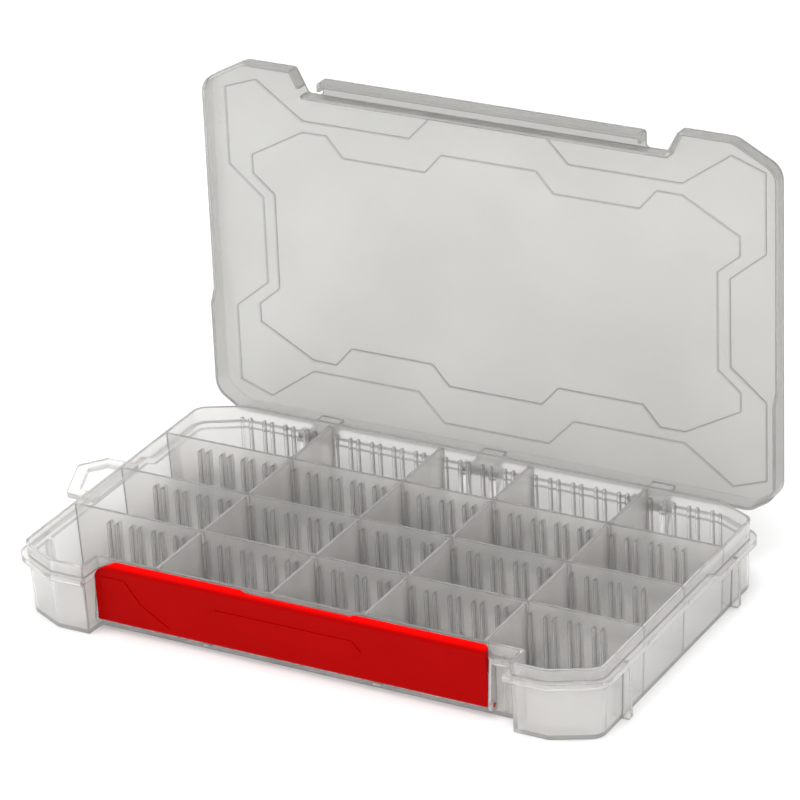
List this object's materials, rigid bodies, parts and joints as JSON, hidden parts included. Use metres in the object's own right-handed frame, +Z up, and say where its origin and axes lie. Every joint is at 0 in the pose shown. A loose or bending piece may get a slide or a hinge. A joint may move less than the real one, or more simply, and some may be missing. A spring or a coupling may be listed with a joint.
{
  "type": "tackle box",
  "caption": "Shallow utility box for fishing tackle: translucent tray with slotted walls and lift-out dividers, hinged lid with a raised angular pattern, long front latch and a hang loop.",
  "frame": {"origin": "on the table, under the middle of the tray's rim outline", "axes": "+Z up, -Y towards the latch, +Y towards the hinges, +X to the right seen from the latch"},
  "size_m": [0.3828, 0.2399, 0.244],
  "materials": {
    "tray_plastic": "translucent, lightly frosted",
    "lid_plastic": "translucent, lightly frosted",
    "divider_plastic": "translucent, lightly frosted",
    "latch_plastic": "glossy",
    "pin_steel": "brushed"
  },
  "bodies": {
    "tray": {"base_tray": "tray_plastic", "hinge_pin_left": "pin_steel", "hinge_pin_centre": "pin_steel", "hinge_pin_right": "pin_steel"},
    "lid": {"lid": "lid_plastic"},
    "latch": {"latch": "latch_plastic"},
    "divider_1_left": {"divider_1_left": "divider_plastic"},
    "divider_1_centre_left": {"divider_1_centre_left": "divider_plastic"},
    "divider_1_centre_right": {"divider_1_centre_right": "divider_plastic"},
    "divider_1_right": {"divider_1_right": "divider_plastic"},
    "divider_2_left": {"divider_2_left": "divider_plastic"},
    "divider_2_centre_left": {"divider_2_centre_left": "divider_plastic"},
    "divider_2_centre_right": {"divider_2_centre_right": "divider_plastic"},
    "divider_2_right": {"divider_2_right": "divider_plastic"},
    "divider_3_left": {"divider_3_left": "divider_plastic"},
    "divider_3_centre_left": {"divider_3_centre_left": "divider_plastic"},
    "divider_3_centre_right": {"divider_3_centre_right": "divider_plastic"},
    "divider_3_right": {"divider_3_right": "divider_plastic"},
    "divider_4_left": {"divider_4_left": "divider_plastic"},
    "divider_4_centre_left": {"divider_4_centre_left": "divider_plastic"},
    "divider_4_centre_right": {"divider_4_centre_right": "divider_plastic"},
    "divider_4_right": {"divider_4_right": "divider_plastic"}
  },
  "joints": [
    {"name": "lid_hinge", "type": "hinge", "parent": "tray", "child": "lid", "pos_m": [0, 0.111, 0.0268], "axis": [-1, 0, 0], "range_deg": [-91, 0]},
    {"name": "latch_hinge", "type": "hinge", "parent": "tray", "child": "latch", "pos_m": [0, -0.0927, 0.0072], "axis": [1, 0, 0], "range_deg": [0, 90]},
    {"name": "divider_1_left_lift", "type": "slide", "parent": "tray", "child": "divider_1_left", "axis": [0, 0, 1], "range_m": [0, 0.06]},
    {"name": "divider_1_centre_left_lift", "type": "slide", "parent": "tray", "child": "divider_1_centre_left", "axis": [0, 0, 1], "range_m": [0, 0.06]},
    {"name": "divider_1_centre_right_lift", "type": "slide", "parent": "tray", "child": "divider_1_centre_right", "axis": [0, 0, 1], "range_m": [0, 0.06]},
    {"name": "divider_1_right_lift", "type": "slide", "parent": "tray", "child": "divider_1_right", "axis": [0, 0, 1], "range_m": [0, 0.06]},
    {"name": "divider_2_left_lift", "type": "slide", "parent": "tray", "child": "divider_2_left", "axis": [0, 0, 1], "range_m": [0, 0.06]},
    {"name": "divider_2_centre_left_lift", "type": "slide", "parent": "tray", "child": "divider_2_centre_left", "axis": [0, 0, 1], "range_m": [0, 0.06]},
    {"name": "divider_2_centre_right_lift", "type": "slide", "parent": "tray", "child": "divider_2_centre_right", "axis": [0, 0, 1], "range_m": [0, 0.06]},
    {"name": "divider_2_right_lift", "type": "slide", "parent": "tray", "child": "divider_2_right", "axis": [0, 0, 1], "range_m": [0, 0.06]},
    {"name": "divider_3_left_lift", "type": "slide", "parent": "tray", "child": "divider_3_left", "axis": [0, 0, 1], "range_m": [0, 0.06]},
    {"name": "divider_3_centre_left_lift", "type": "slide", "parent": "tray", "child": "divider_3_centre_left", "axis": [0, 0, 1], "range_m": [0, 0.06]},
    {"name": "divider_3_centre_right_lift", "type": "slide", "parent": "tray", "child": "divider_3_centre_right", "axis": [0, 0, 1], "range_m": [0, 0.06]},
    {"name": "divider_3_right_lift", "type": "slide", "parent": "tray", "child": "divider_3_right", "axis": [0, 0, 1], "range_m": [0, 0.06]},
    {"name": "divider_4_left_lift", "type": "slide", "parent": "tray", "child": "divider_4_left", "axis": [0, 0, 1], "range_m": [0, 0.06]},
    {"name": "divider_4_centre_left_lift", "type": "slide", "parent": "tray", "child": "divider_4_centre_left", "axis": [0, 0, 1], "range_m": [0, 0.06]},
    {"name": "divider_4_centre_right_lift", "type": "slide", "parent": "tray", "child": "divider_4_centre_right", "axis": [0, 0, 1], "range_m": [0, 0.06]},
    {"name": "divider_4_right_lift", "type": "slide", "parent": "tray", "child": "divider_4_right", "axis": [0, 0, 1], "range_m": [0, 0.06]}
  ]
}
